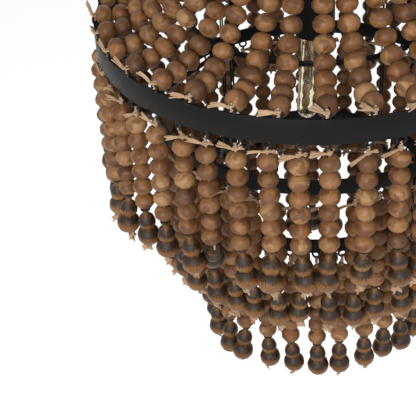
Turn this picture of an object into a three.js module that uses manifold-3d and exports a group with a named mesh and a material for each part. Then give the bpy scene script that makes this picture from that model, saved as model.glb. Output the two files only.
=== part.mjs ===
// Beaded chandelier: a black iron frame of three rings under a crown, dressed with
// strands of round wooden beads on jute twine. Millimetres, +Z up, the ceiling is z = 0.
// An azimuth of 0 degrees faces -Y, and a positive one turns towards +X.
import * as THREE from 'three';
import * as BufferGeometryUtils from 'three/addons/utils/BufferGeometryUtils.js';
import Module from 'manifold-3d';

const wasm = await Module();
wasm.setup();

// Clearances
const seatGap = 0.3;          // between pieces that touch or are welded
const linkGap = 0.4;          // between a link and the wire that it hangs on

// Iron bands: outer radius of each ring, and how far its middle hangs below the main ring's
const bandThickness = 3;
const mainRingRadius = 250;
const mainBandHeight = 28;
const smallBandHeight = 18;
const middleRingRadius = 190;
const middleRingDrop = 106;
const lowerRingRadius = 146;
const lowerRingDrop = 219;
const crownRingRadius = 116.5;
const crownBandHeight = 18;

// Beads and gourd-shaped end beads
const beadDiameter = 20;
const beadPitch = 19.4;
const beadMouthDiameter = 6.5;
const beadsPerStrand = 6;
const twineDiameter = 3;
const wireSides = 3;
const tieLength = 14.5;           // from the band's edge to the first bead
const middleTieLength = 16;
const lowerTieLength = 21.5;
const tieGap = 0.95;              // lets a fringe swing under its band
const tailDiameter = 3.2;
const gourdLength = 51.5;
const gourdNeckDiameter = 9;
const smallLobeDiameter = 17.8;
const gourdWaistDiameter = 11;
const bigLobeDiameter = 23.6;
const endKnotLength = 6;
// heights along the gourd bead, from its top
const smallLobeShare = 0.398;
const gourdWaistShare = 0.54;
const bigLobeShare = 0.748;

// Strands round each ring: how many, in how many sectors, and the azimuth of the first
const strandSides = 3;
const mainStrands = { count: 48, sectors: 8, firstAzimuth: 4.6 };
const middleStrands = { count: 42, sectors: 7, firstAzimuth: 4.7 };
const lowerStrands = { count: 30, sectors: 6, firstAzimuth: 1.2 };
const drapes = { count: 34, sectors: 8, firstAzimuth: 2.8 };

// Draped strands: a catenary in the plane of their azimuth, from the main ring's eyelets
// up to the crown ring, as shares of the way from ring to ring
const drapeSagShare = 0.146;       // from the main ring in to where it hangs lowest
const drapeCurveShare = 0.4494;    // the catenary's own constant
const drapeTieHeight = 9.6;        // where it leaves the tie, over the main ring's edge
const drapeTopTieLength = 1.25;    // from the last bead to the crown ring

// Frame rods, hoop and hangers
const rodDiameter = 4;
const rodSides = 4;
const rodTopRadius = 88;
const rodAzimuths = [-42, 48, 138, 228];
const hoopHeight = 16.5;           // over the main ring's middle
const weldBite = 0.6;              // how far welded wires sink into each other
const hangerWire = 2.2;
const hangerPairGap = 5;
const lowerHangerAzimuths = [-37, 53, 143, 233];
const middleHangerAzimuths = [-22, -15, 68, 75, 158, 165, 248, 255];
const middleHangerLean = 6;        // degrees of azimuth between a hanger's two ends

// Crown cross, hub and stem
const crossArmWidth = 14;
const crossThickness = 3;
const crossInset = 4;              // below the crown band's top edge
const hubDiameter = 50;
const hubThickness = 6;
const stemDiameter = 9.6;
const stemBore = 6;
const nutDiameter = 18;
const nutHeight = 5;

// Lamp holder and its housing
const housingDiameter = 46;
const housingWall = 1.2;
const housingTopHeight = 55;       // over the main ring's middle
const housingLength = 75;
const housingShoulder = 6;
const holderDiameter = 36;
const holderBore = 29.2;
const holderFloor = 8;
const holderLength = 52;
const shellWall = 0.7;
const shellLength = 26;
const contactDiameter = 16;
const contactThickness = 1.5;

// Bulb: a clear tube with a round end, which leans a little in its cap
const capDiameter = 26.4;
const capLength = 26;
const capTipDiameter = 9;
const capInsulator = 5;
const tubeDiameter = 25;
const tubeWall = 1;
const tubeLength = 144;
const tubeLean = 3.7;              // degrees, towards -X
const tubeLeanGap = 1.1;           // room for the lean between the cap and the glass
const innerStemDiameter = 7;
const innerStemLength = 104;
const innerKnobDiameter = 10;
const innerFootDiameter = 6;
const innerFootLength = 18;

// Chain, loops and canopy
const chainLinks = 3;
const linkWire = 4;
const linkBendRadius = 8;          // to the middle of the wire
const linkLength = 34;             // from wire middle to wire middle
const loopRadius = 11;
const loopWire = 5;
const loopBaseDiameter = 14;
const loopBaseHeight = 9;
const loopBoreDepth = 5.5;
const loopBite = 1.5;              // how far the ring of a loop sinks into its base
const canopyDiameter = 130;
const canopyHeight = 24;
const canopyWall = 1.6;
const canopyFlatDiameter = 30;
const collarDiameter = 22;
const collarHeight = 7;
const bracketLength = 104;
const bracketWidth = 20;
const bracketThickness = 2.5;
const bracketSlotLength = 18;
const bracketSlotWidth = 4.5;
const bracketSlotOffset = 34;

// Colours
const ironColour = 0x2b2928;
const woodColour = 0x96704c;
const burntWoodColour = 0x7a5638;
const brassColour = 0xb89650;
const steelColour = 0xa8a8a8;
const bakeliteColour = 0x1c1a19;

const iron = () => new THREE.MeshStandardMaterial({ color: ironColour, roughness: 0.6, metalness: 0.7 });
const wood = () => new THREE.MeshStandardMaterial({ color: woodColour, roughness: 0.6, metalness: 0 });
const burntWood = () =>
  new THREE.MeshStandardMaterial({ color: burntWoodColour, roughness: 0.65, metalness: 0 });
const brass = () => new THREE.MeshStandardMaterial({ color: brassColour, roughness: 0.35, metalness: 1 });
const steel = () => new THREE.MeshStandardMaterial({ color: steelColour, roughness: 0.35, metalness: 1 });
const bakelite = () =>
  new THREE.MeshStandardMaterial({ color: bakeliteColour, roughness: 0.5, metalness: 0 });
const glass = () => new THREE.MeshStandardMaterial({
  color: 0xffffff, roughness: 0.05, metalness: 0, transparent: true, opacity: 0.3,
});

const chandelier = new THREE.Group();
const fixture = new THREE.Group();
chandelier.add(fixture);

function addPiece(parent, name, geometry, material) {
  const mesh = new THREE.Mesh(geometry, material);
  mesh.name = name;
  parent.add(mesh);
  return mesh;
}

// Outline points (radius, height) from the bottom up, turned round the Z axis
function turned(outline, segments) {
  const points = outline.map(([radius, height]) => new THREE.Vector2(radius, height));
  return new THREE.LatheGeometry(points, segments).rotateX(Math.PI / 2);
}

// Where a point of radius r and height z lies at an azimuth in degrees
function at(azimuth, radius, height) {
  const angle = THREE.MathUtils.degToRad(azimuth);
  return new THREE.Vector3(radius * Math.sin(angle), -radius * Math.cos(angle), height);
}

function roundBar(from, to, diameter, sides) {
  const along = to.clone().sub(from);
  const bar = new THREE.CylinderGeometry(diameter / 2, diameter / 2, along.length(), sides);
  bar.applyQuaternion(new THREE.Quaternion().setFromUnitVectors(
    new THREE.Vector3(0, 1, 0), along.clone().normalize()));
  const middle = from.clone().add(to).multiplyScalar(0.5);
  return bar.translate(middle.x, middle.y, middle.z);
}

// A hole drawn with so many curve segments, its flats touching a circle of its diameter
function boreShape(diameter, curveSegments) {
  return circleShape(diameter / Math.cos(Math.PI / (2 * curveSegments)));
}

function circleShape(diameter) {
  return new THREE.Shape().absarc(0, 0, diameter / 2, 0, 2 * Math.PI);
}

function toManifold(geometry) {
  const bare = geometry.clone();
  bare.deleteAttribute('normal');
  bare.deleteAttribute('uv');
  const merged = BufferGeometryUtils.mergeVertices(bare);
  return new wasm.Manifold(new wasm.Mesh({
    numProp: 3,
    vertProperties: new Float32Array(merged.attributes.position.array),
    triVerts: new Uint32Array(merged.index.array),
  }));
}

function fromManifold(solid) {
  const mesh = solid.getMesh();
  const geometry = new THREE.BufferGeometry();
  geometry.setAttribute('position', new THREE.BufferAttribute(mesh.vertProperties, 3));
  geometry.setIndex(new THREE.BufferAttribute(mesh.triVerts, 1));
  geometry.computeVertexNormals();
  return geometry;
}

// One solid from pieces that are welded or tied together
function joined(geometries) {
  return fromManifold(geometries.map(toManifold).reduce((whole, next) => whole.add(next)));
}

// Canopy and what holds it, from the ceiling down
const canopyBottom = -canopyHeight;
const collarBottom = canopyBottom - seatGap - collarHeight;
const loopBaseTop = collarBottom - seatGap;

function ceilingBracket() {
  const half = bracketLength / 2;
  const strip = new THREE.Shape();
  strip.moveTo(-half, -bracketWidth / 2);
  strip.lineTo(half, -bracketWidth / 2);
  strip.lineTo(half, bracketWidth / 2);
  strip.lineTo(-half, bracketWidth / 2);
  strip.closePath();
  const curveSegments = 4;
  strip.holes.push(boreShape(stemDiameter + 2 * seatGap, curveSegments));
  const reach = (bracketSlotLength - bracketSlotWidth) / 2;
  for (const side of [-1, 1]) {
    const slot = new THREE.Path();
    const middle = side * bracketSlotOffset;
    slot.absarc(middle + reach, 0, bracketSlotWidth / 2, -Math.PI / 2, Math.PI / 2);
    slot.absarc(middle - reach, 0, bracketSlotWidth / 2, Math.PI / 2, 1.5 * Math.PI);
    strip.holes.push(slot);
  }
  return new THREE.ExtrudeGeometry(strip, {
    depth: bracketThickness, bevelEnabled: false, curveSegments,
  }).translate(0, 0, -bracketThickness);
}

function canopyShell() {
  const rim = canopyDiameter / 2;
  const flat = canopyFlatDiameter / 2;
  const hole = stemDiameter / 2 + seatGap;
  const arcSteps = 3;
  const outer = [];
  const inner = [];
  for (let i = 0; i <= arcSteps; i += 1) {
    const turn = (i / arcSteps) * (Math.PI / 2);
    outer.push([
      flat + (rim - flat) * Math.cos(turn), -canopyHeight * Math.sin(turn),
    ]);
    inner.push([
      flat + (rim - canopyWall - flat) * Math.cos(turn),
      -(canopyHeight - canopyWall) * Math.sin(turn),
    ]);
  }
  const outline = [
    ...outer.reverse(), ...inner, [hole, -canopyHeight + canopyWall], [hole, -canopyHeight],
    outer[0],
  ];
  return turned(outline, 20);
}

// The flats of a pipe's bore touch a circle of the bore's diameter
function pipe(outerDiameter, boreDiameter, bottom, top, segments) {
  const outer = outerDiameter / 2;
  const bore = boreDiameter / 2 / Math.cos(Math.PI / segments);
  return turned([
    [outer, bottom], [outer, top], [bore, top], [bore, bottom], [outer, bottom],
  ], segments);
}

// A round eye under a base with a blind bore; the base's open end is at z = 0 and the eye
// stands in the XZ plane
const eyeDrop = loopBaseHeight - loopBite + loopRadius + loopWire / 2;
function eyedLoop() {
  const bore = stemDiameter / 2 + seatGap;
  const base = turned([
    [0, -loopBaseHeight], [loopBaseDiameter / 2, -loopBaseHeight], [loopBaseDiameter / 2, 0],
    [bore, 0], [bore, -loopBoreDepth], [0, -loopBoreDepth],
  ], 12);
  const eye = new THREE.TorusGeometry(loopRadius, loopWire / 2, 5, 12)
    .rotateX(Math.PI / 2).translate(0, 0, -eyeDrop);
  return joined([base, eye]);
}

addPiece(chandelier, 'ceiling_bracket', ceilingBracket(), steel());
addPiece(chandelier, 'canopy', canopyShell(), iron());
addPiece(chandelier, 'canopy_nipple',
  pipe(stemDiameter, stemBore, loopBaseTop - loopBoreDepth + seatGap, 0, 10), steel());
addPiece(chandelier, 'canopy_collar',
  pipe(collarDiameter, stemDiameter + 2 * seatGap, collarBottom, canopyBottom - seatGap, 12), iron());
addPiece(chandelier, 'canopy_loop', eyedLoop().translate(0, 0, loopBaseTop), iron());

// Chain: a link is a torus that is pulled apart at its middle, and each is turned 90
// degrees from the one that it hangs on
function chainLink() {
  const bends = 10;
  const link = new THREE.TorusGeometry(linkBendRadius, linkWire / 2, 5, bends)
    .rotateZ(Math.PI / bends);
  const straight = linkLength - 2 * linkBendRadius;
  const places = link.attributes.position;
  for (let i = 0; i < places.count; i += 1) {
    places.setY(i, places.getY(i) + Math.sign(places.getY(i)) * straight / 2);
  }
  return link.rotateX(Math.PI / 2);
}

let hangingWire = loopBaseTop - eyeDrop - loopRadius;
let hangingWireDiameter = loopWire;
for (let i = 1; i <= chainLinks; i += 1) {
  const top = hangingWire + (hangingWireDiameter + linkWire) / 2 + linkGap;
  const link = addPiece(chandelier, `chain_link_${i}`, chainLink(), iron());
  link.position.z = top - linkLength / 2;
  link.rotation.z = i % 2 ? Math.PI / 2 : 0;
  hangingWire = top - linkLength;
  hangingWireDiameter = linkWire;
}

// Heights below are measured from the middle of the main ring. A draped strand runs from
// a tie on the main ring's top edge up to the crown ring's lower edge
const drapeRimRadius = mainRingRadius - bandThickness / 2;
const drapeRimHeight = mainBandHeight / 2 + seatGap + drapeTieHeight;
const drapeCrownRadius = crownRingRadius - bandThickness / 2;
const drapeRun = drapeRimRadius - drapeCrownRadius;
const drapeCurveLength = drapeCurveShare * drapeRun;
const drapeSagRadius = drapeRimRadius - drapeSagShare * drapeRun;
const sag = (radius) => drapeCurveLength * Math.cosh((radius - drapeSagRadius) / drapeCurveLength);
const drapeHeight = (radius) => drapeRimHeight + sag(radius) - sag(drapeRimRadius);
const crownBandBottom = drapeHeight(drapeCrownRadius) + seatGap;
const crownBandTop = crownBandBottom + crownBandHeight;
const crossTop = crownBandTop - crossInset;
const crossBottom = crossTop - crossThickness;
const hubTop = crossTop + seatGap + hubThickness;
const upperNutTop = hubTop + seatGap + nutHeight;
const lowerNutTop = crossBottom - seatGap;
const fixtureBase = upperNutTop + seatGap;
const fixtureEyeTop = hangingWire + (hangingWireDiameter + loopWire) / 2 + linkGap;
fixture.position.z = fixtureEyeTop - loopRadius - eyeDrop - fixtureBase;

addPiece(fixture, 'fixture_loop',
  eyedLoop().rotateX(Math.PI).translate(0, 0, fixtureBase), iron());

const crownBandSides = 24;
const crownBandFace = (crownRingRadius - bandThickness) * Math.cos(Math.PI / crownBandSides);

// Crown: a cross of flat bar lies in the crown ring and is clamped under the hub
function crownCross() {
  const half = crossArmWidth / 2;
  const reach = Math.sqrt(crownBandFace ** 2 - half ** 2) - seatGap;
  const cross = new THREE.Shape();
  const corners = [];
  for (let quarter = 0; quarter < 4; quarter += 1) {
    const turn = quarter * Math.PI / 2;
    for (const [along, across] of [[half, -half], [reach, -half], [reach, half]]) {
      corners.push(new THREE.Vector2(
        along * Math.cos(turn) - across * Math.sin(turn),
        along * Math.sin(turn) + across * Math.cos(turn)));
    }
  }
  cross.setFromPoints(corners);
  const curveSegments = 5;
  cross.holes.push(boreShape(stemDiameter + 2 * seatGap, curveSegments));
  return new THREE.ExtrudeGeometry(cross, {
    depth: crossThickness, bevelEnabled: false, curveSegments,
  }).translate(0, 0, crossBottom);
}

addPiece(fixture, 'top_hub',
  pipe(hubDiameter, stemDiameter + 2 * seatGap, crossTop + seatGap, hubTop, 12), iron());
const cross = addPiece(fixture, 'crown_cross', crownCross(), iron());
cross.rotation.z = THREE.MathUtils.degToRad(rodAzimuths[0]);

// Bands: flat iron strip rolled into a ring
function band(radius, height, middle, segments) {
  const ring = circleShape(2 * radius);
  ring.holes.push(circleShape(2 * (radius - bandThickness)));
  return new THREE.ExtrudeGeometry(ring, {
    depth: height, bevelEnabled: false, curveSegments: segments / 2,
  }).translate(0, 0, middle - height / 2);
}

const mainBandSides = 48;
const mainBandFace = (mainRingRadius - bandThickness) * Math.cos(Math.PI / mainBandSides);
addPiece(fixture, 'crown_ring',
  band(crownRingRadius, crownBandHeight, crownBandBottom + crownBandHeight / 2, crownBandSides),
  iron());
addPiece(fixture, 'main_ring',
  band(mainRingRadius, mainBandHeight, 0, mainBandSides), iron());

// Inner frame: four rods drop from the crown cross, bend under the hoop that is welded to
// them, and run out to the main ring
const hoopRadius = lowerRingRadius - bandThickness / 2;
function innerFrame() {
  const elbowHeight = hoopHeight - rodDiameter + weldBite;
  const rods = rodAzimuths.flatMap((azimuth) => {
    const top = at(azimuth, rodTopRadius, crossBottom - seatGap - rodDiameter / 4);
    const elbow = at(azimuth, hoopRadius, elbowHeight);
    const end = at(azimuth, mainBandFace - seatGap - rodDiameter / 8, 0);
    return [roundBar(top, elbow, rodDiameter, rodSides), roundBar(elbow, end, rodDiameter, rodSides)];
  });
  const hoop = new THREE.TorusGeometry(hoopRadius, rodDiameter / 2, 4, 32)
    .translate(0, 0, hoopHeight);
  return joined([hoop, ...rods]);
}
addPiece(fixture, 'inner_frame', innerFrame(), iron());

// Smaller rings, with the wires welded to their top edges that they hang by
const middleBandTop = -middleRingDrop + smallBandHeight / 2;
const middleHangers = middleHangerAzimuths.map((azimuth) => roundBar(
  at(azimuth, mainBandFace - seatGap - hangerWire / 2, 0),
  at(azimuth - middleHangerLean, middleRingRadius - bandThickness / 2, middleBandTop - weldBite),
  hangerWire, wireSides));
addPiece(fixture, 'middle_ring', joined([
  band(middleRingRadius, smallBandHeight, -middleRingDrop, 42),
  ...middleHangers,
]), iron());

const lowerBandTop = -lowerRingDrop + smallBandHeight / 2;
const lowerHangerTop = hoopHeight - rodDiameter / 2 - seatGap;
const hangerTurn = THREE.MathUtils.radToDeg(hangerPairGap / hoopRadius) / 2;
const lowerHangers = lowerHangerAzimuths.flatMap(
  (azimuth) => [azimuth - hangerTurn, azimuth + hangerTurn].map((turn) => roundBar(
    at(turn, hoopRadius, lowerHangerTop), at(turn, hoopRadius, lowerBandTop - weldBite),
    hangerWire, wireSides)));
addPiece(fixture, 'lower_ring', joined([
  band(lowerRingRadius, smallBandHeight, -lowerRingDrop, 30),
  ...lowerHangers,
]), iron());

// Strands. A facet's corners lie further out than the round bead, so that its mean width
// seen from all sides is the bead's own
const cornerShare = Math.PI / (strandSides * Math.sin(Math.PI / strandSides));
const cornerRadius = (diameter) => cornerShare * diameter / 2;

// A row of beads as ring radii and heights, downwards from the tie
function beadRow(count, start) {
  const rings = [[cornerRadius(twineDiameter), start]];
  for (let i = 0; i < count; i += 1) {
    rings.push([cornerRadius(beadDiameter), start - (i + 0.5) * beadPitch]);
    rings.push([cornerRadius(beadMouthDiameter), start - (i + 1) * beadPitch]);
  }
  return rings;
}

// A hanging strand: tie, beads, gourd bead and end knot, with the places that twine tails
// run between. Where an outer tier hides the round beads, they are one plain sleeve
function hangingStrand(radius, top, tie, beadsShow) {
  const rowTop = tieGap - tie;
  const gourdTop = rowTop - beadsPerStrand * beadPitch;
  const sleeve = [
    [cornerRadius(beadDiameter), rowTop - beadPitch / 4],
    [cornerRadius(beadDiameter), gourdTop + beadPitch / 4],
  ];
  const outline = [
    [0, 0],
    ...(beadsShow ? beadRow(beadsPerStrand, rowTop) : sleeve),
    [cornerRadius(smallLobeDiameter), gourdTop - smallLobeShare * gourdLength],
    [cornerRadius(gourdWaistDiameter), gourdTop - gourdWaistShare * gourdLength],
    [cornerRadius(bigLobeDiameter), gourdTop - bigLobeShare * gourdLength],
    [cornerRadius(gourdNeckDiameter), gourdTop - gourdLength],
    [0, gourdTop - gourdLength - endKnotLength],
  ];
  return {
    geometry: turned(outline.reverse(), strandSides).rotateZ(Math.PI).translate(0, -radius, top),
    knot: [radius, top + rowTop - beadPitch / 6],
    firstBead: [radius, top + rowTop - beadPitch / 2],
  };
}

// A draped strand: a straight row of beads, laid along the catenary by arc length
function drapedStrand() {
  const arc = (radius) => drapeCurveLength * Math.sinh((radius - drapeSagRadius) / drapeCurveLength);
  const radiusAt = (along) => drapeSagRadius + drapeCurveLength * Math.asinh(along / drapeCurveLength);
  const length = arc(drapeRimRadius) - arc(drapeCrownRadius);
  const beads = Math.floor((length - drapeTopTieLength) / beadPitch);
  const row = beadRow(beads, drapeTopTieLength + beads * beadPitch - length);
  row[row.length - 1][0] = cornerRadius(twineDiameter);
  const geometry = turned([[0, drapeTieHeight], ...row, [0, -length]].reverse(), strandSides)
    .rotateZ(Math.PI);
  const places = geometry.attributes.position;
  for (let i = 0; i < places.count; i += 1) {
    const along = arc(drapeRimRadius) + Math.min(places.getZ(i), 0);
    const drop = Math.max(places.getZ(i), 0);
    const tilt = Math.atan(along / drapeCurveLength);
    const radius = radiusAt(along);
    const off = places.getY(i);
    places.setY(i, -radius + off * Math.sin(tilt));
    places.setZ(i, drapeHeight(radius) - drop + off * Math.cos(tilt));
  }
  const rowEnd = arc(drapeCrownRadius) + drapeTopTieLength;
  const knotRadius = radiusAt(rowEnd + beadPitch / 6);
  const beadRadius = radiusAt(rowEnd + beadPitch / 2);
  return {
    geometry,
    knot: [knotRadius, drapeHeight(knotRadius)],
    firstBead: [beadRadius, drapeHeight(beadRadius)],
  };
}

// Strands in sectors. The tail of each knot lies on the first bead of the next strand,
// which ties the strands of a sector together
function twineTail(from, to) {
  const along = to.clone().sub(from);
  const tail = new THREE.ConeGeometry(tailDiameter / 2, along.length(), strandSides);
  tail.applyQuaternion(new THREE.Quaternion().setFromUnitVectors(
    new THREE.Vector3(0, 1, 0), along.clone().normalize()));
  const middle = from.clone().add(to).multiplyScalar(0.5);
  return tail.translate(middle.x, middle.y, middle.z);
}

function addSectors(name, strand, strands, material) {
  const step = 360 / strands.count;
  for (let sector = 0; sector < strands.sectors; sector += 1) {
    const first = Math.round(sector * strands.count / strands.sectors);
    const last = Math.round((sector + 1) * strands.count / strands.sectors) - 1;
    const solids = [];
    for (let i = first; i <= last; i += 1) {
      const azimuth = strands.firstAzimuth + step * i;
      solids.push(strand.geometry.clone().rotateZ(THREE.MathUtils.degToRad(azimuth)));
      if (i > first) {
        solids.push(twineTail(at(azimuth, ...strand.knot), at(azimuth - step, ...strand.firstBead)));
      }
    }
    addPiece(fixture, `${name}_${sector + 1}`, joined(solids), material());
  }
}

addSectors('draped_strands', drapedStrand(), drapes, wood);
addSectors('main_strands', hangingStrand(mainRingRadius - bandThickness / 2,
  -mainBandHeight / 2 - tieGap, tieLength, true), mainStrands, wood);
addSectors('middle_strands', hangingStrand(middleRingRadius - bandThickness / 2,
  -middleRingDrop - smallBandHeight / 2 - tieGap, middleTieLength, false), middleStrands, burntWood);
addSectors('lower_strands', hangingStrand(lowerRingRadius - bandThickness / 2,
  -lowerRingDrop - smallBandHeight / 2 - tieGap, lowerTieLength, false), lowerStrands, burntWood);

// Stem and the two nuts that clamp hub and cross
const housingBottom = housingTopHeight - housingLength;
const holderTop = housingTopHeight - housingWall - seatGap - nutHeight - seatGap;
const holderBottom = holderTop - holderLength;
const stemBottom = holderTop - holderFloor + contactThickness;
addPiece(fixture, 'stem',
  pipe(stemDiameter, stemBore, stemBottom, fixtureBase + loopBoreDepth - seatGap, 10), steel());

function nut(top) {
  return pipe(nutDiameter, stemDiameter + 2 * seatGap, top - nutHeight, top, 6);
}
addPiece(fixture, 'hub_nut_upper', nut(upperNutTop), iron());
addPiece(fixture, 'hub_nut_lower', nut(lowerNutTop), iron());
addPiece(fixture, 'housing_nut', nut(housingTopHeight - housingWall - seatGap), steel());

// Lamp holder: a black cup hides the holder and its screw shell
function lampHousing() {
  const outer = housingDiameter / 2;
  const inner = outer - housingWall;
  const hole = stemDiameter / 2 + seatGap;
  const roof = housingTopHeight - housingWall;
  return turned([
    [outer, housingBottom], [outer, housingTopHeight - housingShoulder],
    [outer - housingShoulder, housingTopHeight], [hole, housingTopHeight],
    [hole, roof], [inner - housingShoulder, roof],
    [inner, roof - housingShoulder], [inner, housingBottom], [outer, housingBottom],
  ], 16);
}

function lampHolder() {
  const outer = holderDiameter / 2;
  const bore = holderBore / 2;
  const hole = stemDiameter / 2 + seatGap;
  const floor = holderTop - holderFloor;
  return turned([
    [outer, holderBottom], [outer, holderTop], [hole, holderTop], [hole, floor],
    [bore, floor], [bore, holderBottom], [outer, holderBottom],
  ], 16);
}

const contactTop = holderTop - holderFloor - seatGap;
const shellOuter = holderBore - 2 * seatGap;
addPiece(fixture, 'lamp_housing', lampHousing(), iron());
addPiece(fixture, 'lamp_holder', lampHolder(), bakelite());
addPiece(fixture, 'centre_contact',
  turned([[0, contactTop - contactThickness], [contactDiameter / 2, contactTop - contactThickness],
    [contactDiameter / 2, contactTop], [0, contactTop]], 10), brass());
const shellTop = contactTop - contactThickness - seatGap;
addPiece(fixture, 'screw_shell',
  pipe(shellOuter, shellOuter - 2 * shellWall, shellTop - shellLength, shellTop, 16), brass());

// Bulb: its cap stands in the screw shell, and its glass hangs a little askew in the cap
const capTop = contactTop - contactThickness - seatGap;
const capBottom = capTop - capLength;
addPiece(fixture, 'bulb_cap', turned([
  [0, capBottom], [capDiameter / 2, capBottom], [capDiameter / 2, capTop - capInsulator],
  [capTipDiameter / 2, capTop - contactThickness], [capTipDiameter / 2, capTop], [0, capTop],
], 12), brass());

function bulbTube() {
  const radius = tubeDiameter / 2;
  const bore = radius - tubeWall;
  const endMiddle = radius - tubeLength;
  const steps = 4;
  const outline = [];
  for (let i = 0; i <= steps; i += 1) {
    const turn = (i / steps) * Math.PI / 2;
    outline.push([radius * Math.sin(turn), endMiddle - radius * Math.cos(turn)]);
  }
  outline.push([radius, 0], [bore, 0]);
  for (let i = steps; i >= 0; i -= 1) {
    const turn = (i / steps) * Math.PI / 2;
    outline.push([bore * Math.sin(turn), endMiddle - bore * Math.cos(turn)]);
  }
  return turned(outline, 12);
}

function bulbStem() {
  return turned([
    [0, -innerStemLength - innerFootLength],
    [innerFootDiameter / 2, -innerStemLength - innerFootLength],
    [innerFootDiameter / 4, -innerStemLength - innerFootLength / 2],
    [innerKnobDiameter / 2, -innerStemLength],
    [innerStemDiameter / 2, -innerStemLength + innerKnobDiameter],
    [innerStemDiameter / 2, tubeLeanGap / 2], [0, tubeLeanGap / 2],
  ], 8);
}

const lean = new THREE.Group();
lean.position.z = capBottom - tubeLeanGap;
lean.rotation.y = THREE.MathUtils.degToRad(tubeLean);
fixture.add(lean);
addPiece(lean, 'bulb_glass', bulbTube(), glass());
addPiece(lean, 'bulb_stem', bulbStem(), glass());

export default chandelier;
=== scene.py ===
import math
import bpy
import numpy as np
from mathutils import Matrix, Vector


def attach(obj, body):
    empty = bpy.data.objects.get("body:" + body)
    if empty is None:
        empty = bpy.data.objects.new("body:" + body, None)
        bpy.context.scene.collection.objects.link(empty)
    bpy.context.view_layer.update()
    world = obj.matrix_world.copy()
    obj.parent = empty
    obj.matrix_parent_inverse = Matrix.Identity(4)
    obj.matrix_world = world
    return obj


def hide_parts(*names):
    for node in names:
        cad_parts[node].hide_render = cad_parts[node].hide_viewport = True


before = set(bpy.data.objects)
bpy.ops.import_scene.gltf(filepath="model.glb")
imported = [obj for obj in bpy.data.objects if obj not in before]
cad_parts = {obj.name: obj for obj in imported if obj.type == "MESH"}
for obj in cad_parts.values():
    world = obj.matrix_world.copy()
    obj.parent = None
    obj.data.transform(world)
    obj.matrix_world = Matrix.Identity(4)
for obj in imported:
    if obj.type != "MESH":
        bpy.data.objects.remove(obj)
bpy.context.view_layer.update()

# Camera: it stands in front of the chandelier and above its main ring, and looks down
# into it, a little to the left of the axis.
camera_data = bpy.data.cameras.new("camera")
camera_data.sensor_fit = "HORIZONTAL"
camera_data.sensor_width = 36
camera_data.lens = 90.34
camera_data.clip_end = 60
camera = bpy.data.objects.new("camera", camera_data)
camera.matrix_world = (
    Matrix.Translation((0.0007, -1.0915, 0.1562))
    @ Matrix.Rotation(0.1256, 4, "Z")
    @ Matrix.Rotation(math.pi / 2 - 0.6282, 4, "X")
    @ Matrix.Rotation(-0.0692, 4, "Z")
)
bpy.context.scene.collection.objects.link(camera)
bpy.context.scene.camera = camera

# Ceiling bracket and nipple: a zinc-plated steel strip that is screwed to the ceiling, and
# a threaded tube that carries the loop. The nipple is turned, with a thread cut along it.
mm = 0.001


def tint(red, green, blue):
    parts = [value / 255 for value in (red, green, blue)]
    return tuple(
        p / 12.92 if p <= 0.04045 else ((p + 0.055) / 1.055) ** 2.4 for p in parts
    ) + (1.0,)


def add_node(tree, kind, inputs=(), **settings):
    made = tree.nodes.new(kind)
    for name, value in settings.items():
        setattr(made, name, value)
    for socket, value in dict(inputs).items():
        if isinstance(value, bpy.types.NodeSocket):
            tree.links.new(value, made.inputs[socket])
        else:
            made.inputs[socket].default_value = value
    return made


def set_ramp(ramp, stops):
    marks = ramp.color_ramp.elements
    while len(marks) < len(stops):
        marks.new(0.5)
    for mark, (place, colour) in zip(marks, stops):
        mark.position = place
        mark.color = colour


def new_group(name, inputs, outputs):
    group = bpy.data.node_groups.new(name, "ShaderNodeTree")
    for label, kind, value in inputs:
        socket = group.interface.new_socket(label, in_out="INPUT", socket_type=kind)
        socket.default_value = value
    for label, kind in outputs:
        group.interface.new_socket(label, in_out="OUTPUT", socket_type=kind)
    return group, group.nodes.new("NodeGroupInput"), group.nodes.new("NodeGroupOutput")


# a worked metal surface: clouds of two near tones, fine grit, and bare or rubbed spots
surface, given, result = new_group(
    "metal_surface",
    [
        ("Tone", "NodeSocketColor", (0.5, 0.5, 0.5, 1)),
        ("Rubbed", "NodeSocketColor", (0.6, 0.6, 0.6, 1)),
        ("Cloud Scale", "NodeSocketFloat", 40.0),
        ("Grit Scale", "NodeSocketFloat", 900.0),
        ("Rubbed Share", "NodeSocketFloat", 0.2),
        ("Smooth", "NodeSocketFloat", 0.4),
        ("Rough", "NodeSocketFloat", 0.6),
    ],
    [
        ("Color", "NodeSocketColor"),
        ("Roughness", "NodeSocketFloat"),
        ("Height", "NodeSocketFloat"),
    ],
)
place = add_node(surface, "ShaderNodeTexCoord").outputs["Object"]
cloud = add_node(surface, "ShaderNodeTexNoise", {
    "Vector": place, "Scale": given.outputs["Cloud Scale"], "Detail": 4.0,
})
grit = add_node(surface, "ShaderNodeTexNoise", {
    "Vector": place, "Scale": given.outputs["Grit Scale"], "Detail": 2.0,
})
edge = add_node(surface, "ShaderNodeMath", {
    0: given.outputs["Rubbed Share"], 1: cloud.outputs["Fac"],
}, operation="MULTIPLY")
colour = add_node(surface, "ShaderNodeMix", {
    "Factor": edge.outputs[0], 6: given.outputs["Tone"], 7: given.outputs["Rubbed"],
}, data_type="RGBA")
rough = add_node(surface, "ShaderNodeMapRange", {
    "Value": cloud.outputs["Fac"], "From Min": 0.3, "From Max": 0.7,
    "To Min": given.outputs["Smooth"], "To Max": given.outputs["Rough"],
})
surface.links.new(colour.outputs[2], result.inputs["Color"])
surface.links.new(rough.outputs[0], result.inputs["Roughness"])
surface.links.new(grit.outputs["Fac"], result.inputs["Height"])


def new_material(name):
    made = bpy.data.materials.new(name)
    made.use_nodes = True
    tree = made.node_tree
    return made, tree, tree.nodes["Principled BSDF"]


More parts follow.
